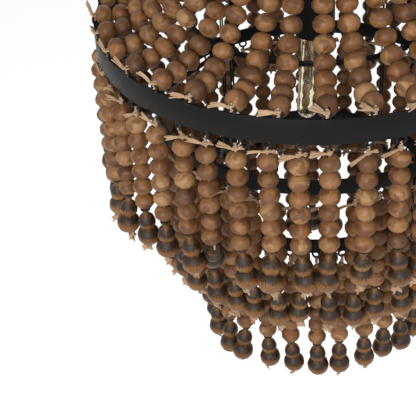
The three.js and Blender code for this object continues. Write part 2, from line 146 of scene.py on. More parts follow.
def metal_finish(name, metallic, tone, rubbed, share, smooth, rough, bump, gloss=0.5):
    made, tree, shader = new_material(name)
    worked = add_node(tree, "ShaderNodeGroup", {
        "Tone": tone, "Rubbed": rubbed, "Rubbed Share": share, "Smooth": smooth,
        "Rough": rough,
    }, node_tree=surface)
    relief = add_node(tree, "ShaderNodeBump", {
        "Strength": bump, "Distance": 0.0002, "Height": worked.outputs["Height"],
    })
    tree.links.new(worked.outputs["Color"], shader.inputs["Base Color"])
    tree.links.new(worked.outputs["Roughness"], shader.inputs["Roughness"])
    tree.links.new(relief.outputs["Normal"], shader.inputs["Normal"])
    shader.inputs["Metallic"].default_value = metallic
    shader.inputs["Specular IOR Level"].default_value = gloss
    return made


zinc = metal_finish(
    "zinc_steel", 1.0, tint(168, 168, 166), tint(120, 122, 124), 0.8, 0.28, 0.46, 0.15)


def dress_node(name, material):
    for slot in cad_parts[name].material_slots:
        slot.material = material


def draw_line(points):
    # in edit mode: a plane shrunk to one point, which is drawn out from place to place
    bpy.ops.mesh.primitive_plane_add(size=0.001, location=(0, 0, 0))
    bpy.ops.mesh.merge(type="CENTER")
    bpy.ops.transform.translate(value=points[0])
    for last, place in zip(points, points[1:]):
        step = [b - a for a, b in zip(last, place)]
        bpy.ops.mesh.extrude_region_move(TRANSFORM_OT_translate={"value": step})


def start_piece(name):
    bpy.ops.object.select_all(action="DESELECT")
    bpy.ops.mesh.primitive_plane_add(size=0.001, location=(0, 0, 0))
    piece = bpy.context.object
    piece.name = name
    bpy.ops.object.mode_set(mode="EDIT")
    bpy.ops.mesh.select_all(action="SELECT")
    bpy.ops.mesh.delete(type="VERT")
    return piece


def turned_piece(name, outline, sides, sharp=35):
    # an outline of radii and heights in millimetres, turned round the Z axis
    piece = start_piece(name)
    draw_line([(radius * mm, 0, height * mm) for radius, height in outline])
    bpy.ops.mesh.select_all(action="SELECT")
    bpy.ops.mesh.spin(
        steps=sides, angle=2 * math.pi, center=(0, 0, 0), axis=(0, 0, 1))
    bpy.ops.mesh.select_all(action="SELECT")
    bpy.ops.mesh.remove_doubles(threshold=0.00001)
    bpy.ops.mesh.normals_make_consistent(inside=False)
    bpy.ops.object.mode_set(mode="OBJECT")
    bpy.ops.object.shade_smooth_by_angle(angle=math.radians(sharp))
    return piece


def finish_piece(piece, material, body, slot, *nodes):
    piece.data.materials.clear()
    piece.data.materials.append(material)
    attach(piece, body)
    if nodes:
        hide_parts(*nodes)


def threaded_tube(name, radius, bore, bottom, top, threads):
    # threads is a list of (from, to) heights; each turn of a thread is one ridge
    pitch = 1
    depth = 0.55
    chamfer = 0.5
    plain_end = 0.4
    outline = [(bore, bottom), (radius - chamfer, bottom)]
    height = bottom + plain_end
    while height < top - plain_end:
        cut = any(low <= height <= high for low, high in threads)
        outline.append((radius, height))
        outline.append((radius - (depth if cut else 0), height + pitch / 2))
        height += pitch
    outline += [(radius - chamfer, top), (bore, top), (bore, bottom)]
    return turned_piece(name, outline, 20)


dress_node("ceiling_bracket", zinc)
nipple = threaded_tube("nipple_thread", 4.75, 3, -36.8, -0.1, [(-37, 0)])
finish_piece(nipple, zinc, "ceiling", "zinc_steel", "canopy_nipple")

# Canopy and collar: a spun steel dome with a rolled rim, coated black like all the iron,
# and the ring nut that holds it up on the nipple. The nut's rim is knurled.
iron = metal_finish(
    "black_iron", 0.0, tint(14, 13, 14), tint(24, 22, 22), 0.7, 0.4, 0.52, 0.25, 0.15)


def dome_curve(width, depth, steps):
    # a quarter of an ellipse from the rim to the flat middle, in steps of nine degrees
    turns = [math.radians(9 * step) for step in steps]
    return [(15 + width * math.cos(turn), -3.4 - depth * math.sin(turn)) for turn in turns]


dome = [(65.6, -1.2), (65.4, -2.6), (64.6, -3.4)]
dome += dome_curve(49.8, 20.6, range(1, 11))
dome += [(5.3, -24), (5.3, -22.4), (15, -22.4)]
dome += dome_curve(48.2, 19, range(9, -1, -1))
dome += [(63.2, -0.3), (64.6, 0), (65.6, -1.2)]
canopy = turned_piece("canopy_dome", dome, 72)
finish_piece(canopy, iron, "ceiling", "black_iron", "canopy")

collar_sides = 48
collar = turned_piece("knurled_collar", [
    (5.3, -31.3), (9.6, -31.3), (10.6, -30.4), (10.6, -25.2), (9.6, -24.3), (5.3, -24.3),
    (5.3, -31.3),
], collar_sides)
# every second face of the rim is let in between raised edges
bpy.ops.object.mode_set(mode="EDIT")
bpy.ops.mesh.select_all(action="DESELECT")
bpy.ops.object.mode_set(mode="OBJECT")
for face in collar.data.polygons:
    middle = face.center
    turn = math.degrees(math.atan2(middle.y, middle.x))
    side = round(turn / (360 / collar_sides) - 0.5)
    face.select = math.hypot(middle.x, middle.y) > 10.4 * mm and side % 2 == 0
bpy.ops.object.mode_set(mode="EDIT")
bpy.ops.mesh.inset(thickness=0.0002, depth=0.0003, use_individual=True)
bpy.ops.object.mode_set(mode="OBJECT")
finish_piece(collar, iron, "ceiling", "black_iron", "canopy_collar")

# Loops and chain: two cast eyes screwed on nipple and stem, and three links bent from round
# wire and welded shut at one side, each turned a quarter from the one above.


def copy_piece(model, name, matrix):
    made = model.copy()
    made.data = model.data.copy()
    made.name = name
    made.data.transform(matrix)
    bpy.context.scene.collection.objects.link(made)
    return made


def join_pieces(pieces, name):
    bpy.ops.object.select_all(action="DESELECT")
    for piece in pieces:
        piece.select_set(True)
    bpy.context.view_layer.objects.active = pieces[0]
    if len(pieces) > 1:
        bpy.ops.object.join()
    pieces[0].name = name
    return pieces[0]


def torus_piece(name, radius, wire, sides, wire_sides, place, turn):
    bpy.ops.object.select_all(action="DESELECT")
    bpy.ops.mesh.primitive_torus_add(
        major_segments=sides, minor_segments=wire_sides, major_radius=radius * mm,
        minor_radius=wire / 2 * mm, location=[value * mm for value in place], rotation=turn)
    piece = bpy.context.object
    piece.name = name
    bpy.ops.object.transform_apply(location=True, rotation=True, scale=True)
    bpy.ops.object.shade_smooth()
    return piece


def eyed_loop(name):
    eye = torus_piece(
        name, 11, 5, 36, 12, (0, 0, -21), (math.pi / 2, 0, 0))
    base = turned_piece("loop_base", [
        (0, -9.4), (4.2, -9.4), (6.2, -8.4), (7, -6.8), (7, -0.6), (6.4, 0), (5.1, 0),
        (5.1, -5.5), (0, -5.5),
    ], 28)
    return join_pieces([eye, base], name)


upper_loop = eyed_loop("canopy_eye")
lower_loop = copy_piece(
    upper_loop, "fixture_eye",
    Matrix.Translation((0, 0, -179 * mm)) @ Matrix.Rotation(math.pi, 4, "X"))
upper_loop.data.transform(Matrix.Translation((0, 0, -31.6 * mm)))
finish_piece(upper_loop, iron, "ceiling", "black_iron", "canopy_loop")
finish_piece(lower_loop, iron, "fixture", "black_iron", "fixture_loop")

link_model = torus_piece("link_model", 8, 4, 28, 10, (0, 0, 0), (math.pi / 2, 0, 0))
bpy.ops.object.mode_set(mode="EDIT")
bpy.ops.mesh.select_all(action="DESELECT")
bpy.ops.object.mode_set(mode="OBJECT")
# the ring's upper half goes up and its lower half down, which leaves straight sides
for way in (1, -1):
    for vertex in link_model.data.vertices:
        vertex.select = vertex.co.z * way > 0.0001
    bpy.ops.object.mode_set(mode="EDIT")
    bpy.ops.transform.translate(value=(0, 0, way * 9 * mm))
    bpy.ops.object.mode_set(mode="OBJECT")
weld = torus_piece("weld", 2, 0.9, 12, 6, (8, 0, 0), (0, 0, 0))
link_model = join_pieces([link_model, weld], "link_model")
for i, middle in enumerate((-75.7, -105.3, -134.9)):
    link = copy_piece(
        link_model, f"chain_link_{i + 1}_wire",
        Matrix.Translation((0, 0, middle * mm))
        @ Matrix.Rotation(math.pi / 2 if i % 2 == 0 else 0, 4, "Z"))
    finish_piece(link, iron, f"link_{i + 1}", "black_iron", f"chain_link_{i + 1}")
bpy.data.objects.remove(link_model)

# Crown cross, hub and nuts: two flat bars halved into each other and clamped between a
# round hub plate and two hexagon nuts on the stem.
dress_node("crown_cross", iron)
hub = turned_piece("hub_plate", [
    (5.1, -190.6), (24.2, -190.6), (25, -189.8), (25, -186.6), (23, -184.9), (9.6, -184.6),
    (5.1, -184.6), (5.1, -190.6),
], 56)
finish_piece(hub, iron, "fixture", "black_iron", "top_hub")


def hexagon_nut(name, top):
    return turned_piece(name, [
        (5.1, top - 5), (8.1, top - 5), (9, top - 4.3), (9, top - 0.7), (8.1, top),
        (5.1, top), (5.1, top - 5),
    ], 6, 20)


finish_piece(hexagon_nut("upper_nut", -179.3), iron, "fixture", "black_iron", "hub_nut_upper")
finish_piece(hexagon_nut("lower_nut", -194.2), iron, "fixture", "black_iron", "hub_nut_lower")

# Rings: flat iron strip, rolled and welded end to end, its edges eased by the coating. The
# crown ring, main ring, middle ring and lower ring are made alike.


def rolled_band(name, radius, height, middle, sides):
    bpy.ops.object.select_all(action="DESELECT")
    bpy.ops.mesh.primitive_cylinder_add(
        vertices=sides, radius=radius * mm, depth=height * mm, end_fill_type="NOTHING",
        location=(0, 0, middle * mm))
    piece = bpy.context.object
    piece.name = name
    bpy.ops.object.transform_apply(location=True, rotation=True, scale=True)
    wall = piece.modifiers.new("wall", "SOLIDIFY")
    wall.thickness = 3 * mm
    wall.offset = -1
    eased = piece.modifiers.new("eased", "BEVEL")
    eased.width = 0.5 * mm
    eased.segments = 2
    eased.limit_method = "ANGLE"
    eased.angle_limit = math.radians(40)
    bpy.ops.object.modifier_apply(modifier="wall")
    bpy.ops.object.modifier_apply(modifier="eased")
    bpy.ops.object.shade_smooth_by_angle(angle=math.radians(40))
    return piece


# height of the main ring's middle, from which the lower parts are measured
ring_middle = -370.97
# piece, CAD node, outer radius, height of the strip, height of its middle, sides
bands = (
    ("crown_band", "crown_ring", 116.5, 18, -195.9, 96),
    ("main_band", "main_ring", 250, 28, ring_middle, 192),
    ("middle_band", "middle_ring", 190, 18, ring_middle - 106, 144),
    ("lower_band", "lower_ring", 146, 18, ring_middle - 219, 120),
)
for name, node, radius, height, middle, sides in bands:
    piece = rolled_band(name, radius, height, middle, sides)
    finish_piece(piece, iron, "fixture", "black_iron", node)

# Eyelets: small rings of black wire, welded side by side to the edges of the bands, one
# for each strand.


def around(azimuth, radius, height):
    # the place of a piece that is modelled facing -Y, turned to its azimuth
    return (
        Matrix.Rotation(math.radians(azimuth), 4, "Z")
        @ Matrix.Translation((0, -radius * mm, height * mm))
    )


def strand_azimuths(first, count):
    return [first + 360 / count * i for i in range(count)]


eyelet_wire = metal_finish(
    "eyelet_wire", 0.2, tint(17, 16, 17), tint(40, 38, 38), 0.5, 0.3, 0.45, 0.2, 0.25)
eyelet_model = torus_piece("eyelet", 4.5, 2.7, 10, 6, (0, 0, 0), (math.pi / 2, 0, 0))
rng = np.random.default_rng(11)
drape_count = 34
drape_first = 2.8
crown_eye_radius = 115
main_eye_radius = 248.5
middle_eye_radius = 188.5
lower_eye_radius = 144.5
main_edge = ring_middle - 14
middle_edge = ring_middle - 115
lower_edge = ring_middle - 228
# piece, azimuth of the first, how many, radius, height of the band's edge, way off the edge
eyelet_rows = (
    ("crown_eyelets", drape_first, drape_count, crown_eye_radius, -204.9, -1.8),
    ("rim_eyelets", drape_first, drape_count, main_eye_radius, ring_middle + 14, 2.8),
    ("main_eyelets", 4.6, 48, main_eye_radius, main_edge, -2.9),
    ("middle_eyelets", 4.7, 42, middle_eye_radius, middle_edge, -2.9),
    ("lower_eyelets", 1.2, 30, lower_eye_radius, lower_edge, -2.9),
)
for name, first, count, radius, edge, stand in eyelet_rows:
    row = []
    for azimuth in strand_azimuths(first, count):
        turn = Matrix.Rotation(math.radians(rng.uniform(-25, 25)), 4, "Z")
        spot = around(azimuth, radius, edge + stand + rng.uniform(-0.3, 0.3)) @ turn
        row.append(copy_piece(eyelet_model, name, spot))
    row = join_pieces(row, name)
    finish_piece(row, eyelet_wire, "fixture", "black_iron")
bpy.data.objects.remove(eyelet_model)

# Inner frame: two wire hoops one over the other, and four pairs of rods that come down from
# the crown cross, pass under the hoops and run out to the main ring. All joints are welded.


def wire_piece(name, lines, thickness, roundness=2, taper=None):
    # lines of points in millimetres, each given a round section
    piece = start_piece(name)
    for points in lines:
        draw_line([[value * mm for value in point] for point in points])
    bpy.ops.object.mode_set(mode="OBJECT")
    bpy.ops.object.convert(target="CURVE")
    curve = bpy.context.object
    curve.data.bevel_depth = thickness / 2 * mm
    curve.data.bevel_resolution = roundness
    curve.data.use_fill_caps = True
    if taper:
        for spline in curve.data.splines:
            last = len(spline.points) - 1
            for i, point in enumerate(spline.points):
                point.radius = taper(i / last)
    bpy.ops.object.convert(target="MESH")
    piece = bpy.context.object
    piece.name = name
    bpy.ops.object.shade_smooth()
    return piece


def ring_spot(azimuth, radius, height):
    turn = math.radians(azimuth)
    return (radius * math.sin(turn), -radius * math.cos(turn), height)


frame_parts = []
frame_wire = 3
half_pair = 1.65
hoop_radius = 144.5
hoop_height = ring_middle + 16.5
for side in (-1, 1):
    lift = side * half_pair
    frame_parts.append(torus_piece(
        "hoop", hoop_radius, frame_wire, 128, 10, (0, 0, hoop_height + lift), (0, 0, 0)))
# the bends of a rod: radius at which a pair is set apart, radius and height of the wire
rod_bends = (
    (88, 88, -194.8), (142, 141.5, hoop_height + 6), (144, 143.2, hoop_height - 1.2),
    (146, 146.5, hoop_height - 4.2), (246, 246.4, ring_middle),
)
rod_lines = []
for azimuth in (-42, 48, 138, 228):
    for side in (-1, 1):
        rod_lines.append([
            ring_spot(azimuth + math.degrees(side * half_pair / apart), radius, height)
            for apart, radius, height in rod_bends
        ])
frame_parts.append(wire_piece("rods", rod_lines, frame_wire))
inner_frame = join_pieces(frame_parts, "frame_wires")
finish_piece(inner_frame, iron, "fixture", "black_iron", "inner_frame")

# Hangers: pairs of straight wires that carry the middle ring from inside the main ring, and
# the lower ring from the hoop.
hanger_lines = []
for azimuth in (-22, -15, 68, 75, 158, 165, 248, 255):
    hanger_lines.append([
        ring_spot(azimuth, 246.2, ring_middle + 2),
        ring_spot(azimuth - 6, middle_eye_radius, ring_middle - 98),
    ])
for azimuth in (-37, 53, 143, 233):
    for side in (-1, 1):
        turn = azimuth + side * 0.7
        hanger_lines.append([
            ring_spot(turn, hoop_radius, hoop_height - 2),
            ring_spot(turn, hoop_radius, ring_middle - 211),
        ])
hangers = wire_piece("hanger_wires", hanger_lines, 2.0)
finish_piece(hangers, iron, "fixture", "black_iron")

# Stem and lamp holder: a steel tube, threaded at both ends, goes through the hub and ends in
# a black moulded holder with a brass screw shell, under a plain black steel cup.
stem = threaded_tube("stem_tube", 4.75, 3, -329.3, -173.9, [(-330, -312), (-204, -173)])
finish_piece(stem, zinc, "fixture", "zinc_steel", "stem")
finish_piece(
    hexagon_nut("cup_nut", -317.5), zinc, "fixture", "zinc_steel", "housing_nut")
cup = turned_piece("lamp_cup", [
    (23, -391), (23, -322.4), (22.5, -319.8), (21, -317.6), (18.6, -316.2), (17, -316),
    (5.1, -316), (5.1, -317.2), (16.8, -317.2), (18.2, -317.4), (20.1, -318.6),
    (21.4, -320.6), (21.8, -322.6), (21.8, -391), (23, -391),
], 56)
finish_piece(cup, iron, "fixture", "black_iron", "lamp_housing")

moulded = metal_finish(
    "moulded_holder", 0.0, tint(28, 26, 25), tint(46, 43, 41), 0.5, 0.3, 0.42, 0.1)
holder = turned_piece("holder_body", [
    (14.6, -374.8), (17.4, -374.8), (18, -374.2), (18, -344), (17, -343), (17, -341),
    (18, -340), (18, -326), (16.5, -323.2), (14, -322.8), (5.1, -322.8), (5.1, -330.8),
    (14.6, -330.8), (14.6, -374.8),
], 40)
finish_piece(holder, moulded, "fixture", "bakelite", "lamp_holder")
brass = metal_finish(
    "brass", 1.0, tint(196, 158, 86), tint(150, 112, 56), 0.6, 0.25, 0.42, 0.1)
dress_node("centre_contact", brass)


def pressed_thread(root, depth, bottom, count):
    # rounded ridges of one pitch, four points to a ridge
    pitch = 3.6
    ridges = []
    for i in range(count):
        climb = i * 0.9
        wave = 0.5 + 0.5 * math.cos(climb / pitch * 2 * math.pi)
        ridges.append((root + depth * wave, bottom + climb))
    return ridges


outside = pressed_thread(13.75, 0.45, -358.8, 29)
inside = [(radius - 0.5, height) for radius, height in reversed(outside)]
shell = turned_piece("holder_thread", outside + inside + outside[:1], 32, 60)
finish_piece(shell, brass, "fixture", "brass", "screw_shell")

# Bulb: a long clear tube with a round end, blown and melted onto a pinched glass stem with
# its wires, and cemented a little askew into a brass screw cap.
cap_outline = [(0, -358.4), (12.2, -358.8), (13.0, -358)]
cap_outline += pressed_thread(12.35, 0.7, -357, 20)
cap_outline += [(12.2, -339), (8.4, -336.2), (4.6, -334.6), (4.4, -333.2), (0, -332.9)]
cap = turned_piece("cap_thread", cap_outline, 32, 60)
finish_piece(cap, brass, "bulb", "brass", "bulb_cap")

glass, tree, clear = new_material("clear_glass")
clear.inputs["Transmission Weight"].default_value = 1.0
clear.inputs["IOR"].default_value = 1.46
clear.inputs["Metallic"].default_value = 0.0
place = add_node(tree, "ShaderNodeTexCoord").outputs["Object"]
streaks = add_node(tree, "ShaderNodeTexNoise", {
    "Vector": place, "Scale": 60.0, "Detail": 2.0,
})
tone = add_node(tree, "ShaderNodeValToRGB", {"Fac": streaks.outputs["Fac"]})
set_ramp(tone, [(0.35, (0.94, 0.86, 0.67, 1)), (0.65, (1, 0.94, 0.79, 1))])
haze = add_node(tree, "ShaderNodeMapRange", {
    "Value": streaks.outputs["Fac"], "To Min": 0.0, "To Max": 0.06,
})
tree.links.new(tone.outputs["Color"], clear.inputs["Base Color"])
tree.links.new(haze.outputs[0], clear.inputs["Roughness"])


def round_end(radius):
    # the outline of half a ball that closes the tube at its lower end
    turns = [math.radians(90 * i / 8) for i in range(9)]
    return [(radius * math.sin(turn), -131.5 - radius * math.cos(turn)) for turn in turns]


# the bulb is modelled from its neck down, then leans in the cap
lean = (
    Matrix.Translation((0, 0, -360 * mm)) @ Matrix.Rotation(math.radians(3.7), 4, "Y")
)
tube_outline = round_end(12.5)
tube_outline += [(12.5, -10), (12.1, -4), (10.6, 0), (9.8, 0), (11.3, -4), (11.7, -10)]
tube_outline += reversed(round_end(11.7))
tube = turned_piece("bulb_tube", tube_outline, 40, 60)
tube.data.transform(lean)
finish_piece(tube, glass, "bulb", "clear_glass", "bulb_glass")

stem_glass = glass.copy()
stem_glass.name = "stem_glass"
for node in stem_glass.node_tree.nodes:
    if node.type == "VALTORGB":
        set_ramp(node, [(0.35, (0.42, 0.39, 0.32, 1)), (0.65, (0.62, 0.59, 0.5, 1))])
pinched_stem = turned_piece("pinched_stem", [
    (0, -121), (1.2, -120.8), (2.1, -118.6), (1.4, -115.4), (2.4, -112.4), (1.6, -109.4),
    (2.2, -107), (4.3, -104.6), (4.9, -101.4), (4.3, -98), (2.9, -95.2), (3.6, -92),
    (3.6, -30), (4, -22), (5.6, -12), (8.6, -4), (8.6, -3), (0, -3),
], 20, 60)
pinched_stem.data.transform(lean)
finish_piece(pinched_stem, stem_glass, "bulb", "clear_glass", "bulb_stem")

filament_metal = metal_finish(
    "filament", 1.0, tint(120, 92, 60), tint(70, 52, 40), 0.5, 0.3, 0.5, 0.1)
cage_radius = 5.2
cage_top = -40
cage_bottom = -98
filament_lines = []
for side in (-1, 1):
    filament_lines.append([
        (side * 3.7, 0, -24), (side * 4.2, 0, -34), (side * cage_radius, 0, cage_top)])
zigzag = []
for i in range(9):
    turn = math.radians(360 * i / 8)
    zigzag.append((
        cage_radius * math.cos(turn), cage_radius * math.sin(turn),
        cage_top if i % 2 == 0 else cage_bottom))
filament_lines.append(zigzag)
for i in range(4):
    turn = math.radians(90 * i + 45)
    filament_lines.append([
        (3.4 * math.cos(turn), 3.4 * math.sin(turn), cage_bottom - 1),
        (cage_radius * math.cos(turn), cage_radius * math.sin(turn), cage_bottom),
    ])
filament = wire_piece("filament_wires", filament_lines, 0.35, 1)
filament.data.transform(lean)
finish_piece(filament, filament_metal, "bulb", "brass")

# Round beads: turned from light wood, drilled through, waxed to a satin brown and strung
# unsorted, so that tone and grain change from bead to bead.
grain, given, result = new_group(
    "wood_grain",
    [
        ("Ring Scale", "NodeSocketFloat", 1.0),
        ("Warp", "NodeSocketFloat", 0.5),
        ("Fibre Scale", "NodeSocketFloat", 6.0),
    ],
    [
        ("Rings", "NodeSocketFloat"),
        ("Fibre", "NodeSocketFloat"),
        ("Heart", "NodeSocketFloat"),
        ("Mottle", "NodeSocketFloat"),
    ],
)
place = add_node(
    grain, "ShaderNodeAttribute", attribute_name="grain_place").outputs["Vector"]
cloud = add_node(grain, "ShaderNodeTexNoise", {
    "Vector": place, "Scale": 0.55, "Detail": 3.0,
})
warped = add_node(grain, "ShaderNodeVectorMath", {
    0: cloud.outputs["Color"], "Scale": given.outputs["Warp"],
}, operation="SCALE")
bent = add_node(grain, "ShaderNodeVectorMath", {
    0: place, 1: warped.outputs[0],
}, operation="ADD")
rings = add_node(grain, "ShaderNodeTexWave", {
    "Vector": bent.outputs[0], "Scale": given.outputs["Ring Scale"], "Distortion": 3.0,
    "Detail": 2.0, "Detail Scale": 0.8,
}, wave_type="RINGS", rings_direction="Y")
long_way = add_node(grain, "ShaderNodeMapping", {
    "Vector": bent.outputs[0], "Scale": (1.0, 0.12, 1.0),
})
fibre = add_node(grain, "ShaderNodeTexNoise", {
    "Vector": long_way.outputs[0], "Scale": given.outputs["Fibre Scale"], "Detail": 4.0,
    "Roughness": 0.65,
})
heart = add_node(grain, "ShaderNodeTexNoise", {
    "Vector": bent.outputs[0], "Scale": 0.6, "Detail": 1.0, "Roughness": 0.4,
})
mottle = add_node(grain, "ShaderNodeTexNoise", {
    "Vector": place, "Scale": 1.9, "Detail": 3.0, "Roughness": 0.55,
})
grain.links.new(rings.outputs["Fac"], result.inputs["Rings"])
grain.links.new(fibre.outputs["Fac"], result.inputs["Fibre"])
grain.links.new(heart.outputs["Fac"], result.inputs["Heart"])
grain.links.new(mottle.outputs["Fac"], result.inputs["Mottle"])


def mask(tree, value, low, high, share):
    return add_node(tree, "ShaderNodeMapRange", {
        "Value": value, "From Min": low, "From Max": high, "To Min": 0.0, "To Max": share,
    }).outputs[0]


def blended(tree, factor, under, over, way="MIX"):
    return add_node(tree, "ShaderNodeMix", {
        "Factor": factor, 6: under, 7: over,
    }, data_type="RGBA", blend_type=way).outputs[2]


bead_wood, tree, shader = new_material("bead_wood")
figure = add_node(tree, "ShaderNodeGroup", {"Ring Scale": 0.5, "Warp": 1.6}, node_tree=grain)
tone = add_node(tree, "ShaderNodeAttribute", attribute_name="tone")
tone_ramp = add_node(tree, "ShaderNodeValToRGB", {"Fac": tone.outputs["Fac"]})
set_ramp(tone_ramp, [
    (0.0, tint(112, 76, 43)), (0.2, tint(140, 97, 56)), (0.4, tint(166, 124, 81)),
    (0.55, tint(153, 106, 61)), (0.75, tint(175, 131, 86)), (1.0, tint(190, 150, 105)),
])
colour = tone_ramp.outputs["Color"]
colour = blended(
    tree, mask(tree, figure.outputs["Mottle"], 0.35, 0.68, 0.55), colour,
    tint(216, 204, 194), "MULTIPLY")
colour = blended(
    tree, mask(tree, figure.outputs["Heart"], 0.5, 0.55, 0.9), colour,
    tint(184, 170, 158), "MULTIPLY")
colour = blended(
    tree, mask(tree, figure.outputs["Rings"], 0.6, 1.0, 0.3), colour, tint(98, 62, 38))
colour = blended(
    tree, mask(tree, figure.outputs["Fibre"], 0.3, 0.7, 0.35), colour,
    tint(206, 168, 128), "SOFT_LIGHT")
place = add_node(tree, "ShaderNodeAttribute", attribute_name="grain_place")
smudges = add_node(tree, "ShaderNodeTexNoise", {
    "Vector": place.outputs["Vector"], "Scale": 1.0, "Detail": 3.0, "Roughness": 0.5,
    "Distortion": 0.8,
})
colour = blended(
    tree, mask(tree, smudges.outputs["Fac"], 0.63, 0.7, 0.65), colour, tint(70, 54, 44))
satin = add_node(tree, "ShaderNodeMapRange", {
    "Value": figure.outputs["Fibre"], "From Min": 0.3, "From Max": 0.7,
    "To Min": 0.46, "To Max": 0.6,
})
relief = add_node(tree, "ShaderNodeBump", {
    "Strength": 0.18, "Distance": 0.0003, "Height": figure.outputs["Fibre"],
})
tree.links.new(colour, shader.inputs["Base Color"])
tree.links.new(satin.outputs[0], shader.inputs["Roughness"])
tree.links.new(relief.outputs["Normal"], shader.inputs["Normal"])
shader.inputs["Specular IOR Level"].default_value = 0.45


def keep_grain(piece):
    # the grain lies in the bead's own centimetres, so that it goes where the bead goes
    places = np.empty(len(piece.data.vertices) * 3, np.float32)
    piece.data.vertices.foreach_get("co", places)
    layer = piece.data.attributes.new("grain_place", "FLOAT_VECTOR", "POINT")
    layer.data.foreach_set("vector", places / (10 * mm))
    piece.data.attributes.new("tone", "FLOAT", "POINT")


def own_grain(piece, rng, tone, turned_freely):
    # each bead is cut from another place of the wood; a gourd's grain stays upright
    layer = piece.data.attributes["grain_place"].data
    places = np.empty(len(layer) * 3, np.float32)
    layer.foreach_get("vector", places)
    places = places.reshape(-1, 3)
    if turned_freely:
        axis = Vector(rng.normal(size=3)).normalized()
        turn = np.array(Matrix.Rotation(rng.uniform(0, 6.28), 3, axis))
        places = places @ turn.T
    shift = rng.uniform(-30, 30, size=3) * (1, 1, 1 if turned_freely else 0)
    layer.foreach_set("vector", (places + shift).astype(np.float32).ravel())
    piece.data.attributes["tone"].data.foreach_set(
        "value", np.full(len(layer), tone, np.float32))


bead_pitch = 19.4
bead_outline = [
    (2.8, -9.3), (8.1, -6.9), (11.0, -2.5), (11.0, 2.5), (8.1, 6.9), (2.8, 9.3),
]
bead_model = turned_piece("bead_model", bead_outline + bead_outline[:1], 12, 60)
keep_grain(bead_model)


def place_bead(model, spot, rng, name, free=True, size=1.0):
    size *= rng.uniform(0.97, 1.03)
    wobble = (
        Matrix.Rotation(math.radians(rng.uniform(-5, 5)), 4, "X")
        @ Matrix.Rotation(math.radians(rng.uniform(-5, 5)), 4, "Y")
        @ Matrix.Rotation(rng.uniform(0, 2 * math.pi), 4, "Z")
    )
    shape = Matrix.Diagonal((size, size, size * rng.uniform(0.98, 1.01), 1))
    made = copy_piece(model, name, spot @ wobble @ shape)
    tone = min(max(rng.normal(0.5, 0.26), 0), 1)
    own_grain(made, rng, tone, free)
    return made


# Draped strands: eleven round beads on jute twine from each eyelet of the rim up to the
# crown ring. Between the two ties a strand sags in a catenary.
sag_radius = 229.009
sag_curve = 59.995
rim_height = ring_middle + 23.9
rim_reach = main_eye_radius - sag_radius
drape_beads = 11
drape_sectors = 8


def drape_arc(radius):
    return sag_curve * math.sinh((radius - sag_radius) / sag_curve)


def drape_spot(along):
    radius = sag_radius + sag_curve * math.asinh(along / sag_curve)
    height = rim_height + sag_curve * (
        math.cosh((radius - sag_radius) / sag_curve) - math.cosh(rim_reach / sag_curve))
    return radius, height, math.atan(along / sag_curve)


def sector_strands(sector, count, sectors):
    return range(round(sector * count / sectors), round((sector + 1) * count / sectors))


drape_start = drape_arc(crown_eye_radius) + 1.25
drape_azimuths = strand_azimuths(drape_first, drape_count)
drape_cores = []
rng = np.random.default_rng(23)
for sector in range(drape_sectors):
    row = []
    for k in sector_strands(sector, drape_count, drape_sectors):
        azimuth = drape_azimuths[k]
        sway = rng.uniform(-1.2, 1.2)
        dip = rng.uniform(-2.2, 1.2)
        core = []
        for i in range(drape_beads):
            radius, height, slope = drape_spot(drape_start + (i + 0.5) * bead_pitch)
            slack = math.sin(math.pi * (i + 0.5) / drape_beads)
            lift = height + dip * slack
            spot = around(azimuth + sway * slack, radius, lift + rng.uniform(-0.5, 0.5))
            laid = spot @ Matrix.Rotation(math.pi / 2 - slope, 4, "X")
            size = 0.93 if i < 3 else 1.035
            row.append(place_bead(bead_model, laid, rng, "draped_bead", size=size))
            core.append(ring_spot(azimuth + sway * slack, radius, lift))
        radius, height, slope = drape_spot(drape_start + drape_beads * bead_pitch + 1)
        core.append(ring_spot(azimuth, radius, height))
        core.insert(0, ring_spot(azimuth, crown_eye_radius, -206))
        drape_cores.append(core)
    row = join_pieces(row, f"draped_beads_{sector + 1}")
    finish_piece(row, bead_wood, "fixture", "bead_wood", f"draped_strands_{sector + 1}")

# Hanging strands: six round beads and a gourd-shaped end bead with two lobes. The gourd is
# turned from one piece, scorched on the upper half of each lobe and left waxed below, with
# a painted sheen that greys the lower end of the big lobe.
burnt_wood, tree, shader = new_material("burnt_wood")
figure = add_node(tree, "ShaderNodeGroup", {"Ring Scale": 0.7, "Warp": 0.8}, node_tree=grain)
tone = add_node(tree, "ShaderNodeAttribute", attribute_name="tone")
along = add_node(tree, "ShaderNodeAttribute", attribute_name="along")
place = add_node(tree, "ShaderNodeAttribute", attribute_name="grain_place")
upright = add_node(tree, "ShaderNodeMapping", {
    "Vector": place.outputs["Vector"], "Scale": (5.0, 5.0, 0.35),
})
streaks = add_node(tree, "ShaderNodeTexNoise", {
    "Vector": upright.outputs[0], "Scale": 1.6, "Detail": 3.0, "Roughness": 0.6,
})
ragged = add_node(tree, "ShaderNodeMapRange", {
    "Value": streaks.outputs["Fac"], "From Min": 0.25, "From Max": 0.75,
    "To Min": -0.085, "To Max": 0.085,
})
shifted = add_node(tree, "ShaderNodeMapRange", {
    "Value": tone.outputs["Fac"], "To Min": -0.035, "To Max": 0.035,
})
level = add_node(tree, "ShaderNodeMath", {
    0: along.outputs["Fac"], 1: ragged.outputs[0],
}, operation="ADD")
level = add_node(tree, "ShaderNodeMath", {
    0: level.outputs[0], 1: shifted.outputs[0],
}, operation="ADD")
scorch = add_node(tree, "ShaderNodeValToRGB", {"Fac": level.outputs[0]})
